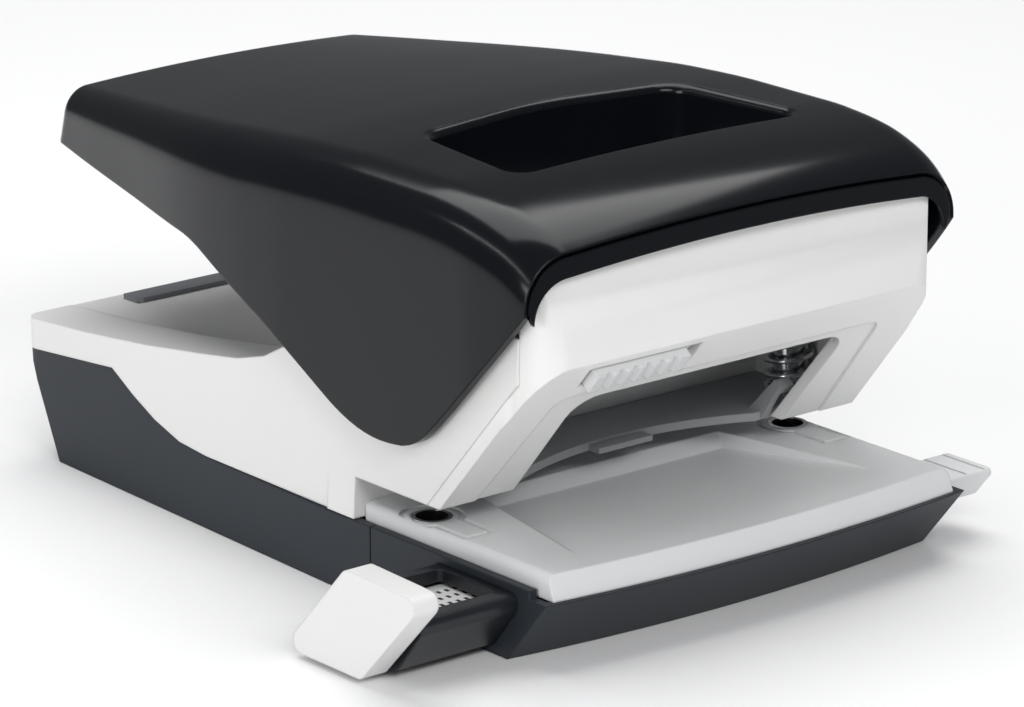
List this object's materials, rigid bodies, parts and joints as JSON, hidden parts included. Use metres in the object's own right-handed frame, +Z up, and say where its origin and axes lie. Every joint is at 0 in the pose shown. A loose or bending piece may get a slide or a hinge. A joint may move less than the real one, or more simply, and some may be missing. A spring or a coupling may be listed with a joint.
{
  "type": "two-hole paper punch",
  "caption": "Desk punch for filing holes: black pressing handle over a white body, grey paper table, swing-down chip tray, side slide lock and pull-out format guide.",
  "frame": {"origin": "midway between the two holes, on the surface that the punch stands on", "axes": "+X along the two holes, away from the format guide's stop; -Y towards the side where the paper goes in; +Z up"},
  "size_m": [0.1313, 0.158, 0.0765],
  "materials": {
    "white_plastic": "satin",
    "grey_plastic": "satin",
    "black_plastic": "polished",
    "charcoal_plastic": "fine grain",
    "dark_plastic": "satin",
    "steel": "plain",
    "bright_steel": "bright",
    "plated_strip": "satin",
    "rubber_grey": "matte",
    "printed_scale": "printed"
  },
  "bodies": {
    "punch_body": {"table_top": "grey_plastic", "die_plate": "steel", "die_bush_left": "bright_steel", "die_bush_right": "bright_steel", "front_base": "charcoal_plastic", "guide_sleeve": "dark_plastic", "guide_detent_spring": "steel", "body_shell": "white_plastic", "front_cover": "white_plastic", "punch_frame": "steel", "stripper_plate": "plated_strip", "pivot_axle": "steel", "axle_clips": "steel", "bumper_pad": "rubber_grey", "frame_rivets": "steel", "cover_screws": "steel", "body_screws": "steel", "pin_spring_left": "bright_steel", "pin_spring_right": "bright_steel"},
    "handle": {"handle_shell": "black_plastic", "handle_lever": "steel", "lever_screws": "steel"},
    "left_punch": {"punch_pin_left": "bright_steel", "pin_washer_left": "steel"},
    "right_punch": {"punch_pin_right": "bright_steel", "pin_washer_right": "steel"},
    "lock": {"lock_slider": "grey_plastic", "lock_bolt": "steel"},
    "guide": {"guide_bar": "grey_plastic", "guide_stop": "white_plastic", "format_scale": "printed_scale"},
    "tray": {"chip_tray": "charcoal_plastic"}
  },
  "joints": [
    {"name": "handle_press", "type": "hinge", "parent": "punch_body", "child": "handle", "pos_m": [0, -0.027, 0.06], "axis": [-1, 0, 0], "range_deg": [0, 11], "stiffness_Nm_per_rad": 3, "springref_deg": -11.46},
    {"name": "left_punch_slide", "type": "slide", "parent": "punch_body", "child": "left_punch", "axis": [0, 0, -1], "range_m": [0, 0.0053], "deforming": ["pin_spring_left"]},
    {"name": "right_punch_slide", "type": "slide", "parent": "punch_body", "child": "right_punch", "axis": [0, 0, -1], "range_m": [0, 0.0053], "deforming": ["pin_spring_right"]},
    {"name": "lock_slide", "type": "slide", "parent": "punch_body", "child": "lock", "axis": [1, 0, 0], "range_m": [0, 0.003]},
    {"name": "guide_slide", "type": "slide", "parent": "punch_body", "child": "guide", "axis": [-1, 0, 0], "range_m": [0, 0.08]},
    {"name": "tray_hinge", "type": "hinge", "parent": "punch_body", "child": "tray", "pos_m": [0, -0.0051, 0.0019], "axis": [-1, 0, 0], "range_deg": [0, 35]}
  ],
  "couplings": [
    {"joint": "left_punch_slide", "follows": "handle_press", "m_per_rad": 0.0272},
    {"joint": "right_punch_slide", "follows": "handle_press", "m_per_rad": 0.0272}
  ]
}
